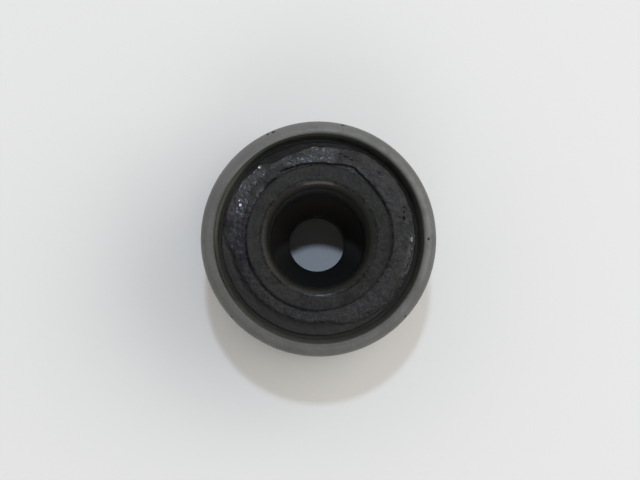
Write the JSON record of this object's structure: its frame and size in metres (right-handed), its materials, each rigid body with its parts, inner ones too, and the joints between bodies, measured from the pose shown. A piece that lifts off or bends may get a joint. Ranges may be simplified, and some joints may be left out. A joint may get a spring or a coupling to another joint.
{
  "type": "shift lever bushing",
  "caption": "Round bonded bushing: grey steel sleeve, black rubber ring and a matt black inner bush whose round-mouthed socket takes a shift lever's end.",
  "frame": {"origin": "centre of the bush's lower end face, on the axis", "axes": "+Z along the axis towards the socket's mouth; +X and +Y are free, because the part is round"},
  "size_m": [0.03, 0.03, 0.02],
  "materials": {
    "sleeve_steel": "matt grey phosphate coat",
    "bonded_rubber": "uneven, partly glossy moulded rubber",
    "bush_black": "smooth matt black"
  },
  "bodies": {
    "root": {"outer_sleeve": "sleeve_steel", "rubber_ring": "bonded_rubber", "inner_bush": "bush_black"}
  },
  "joints": []
}
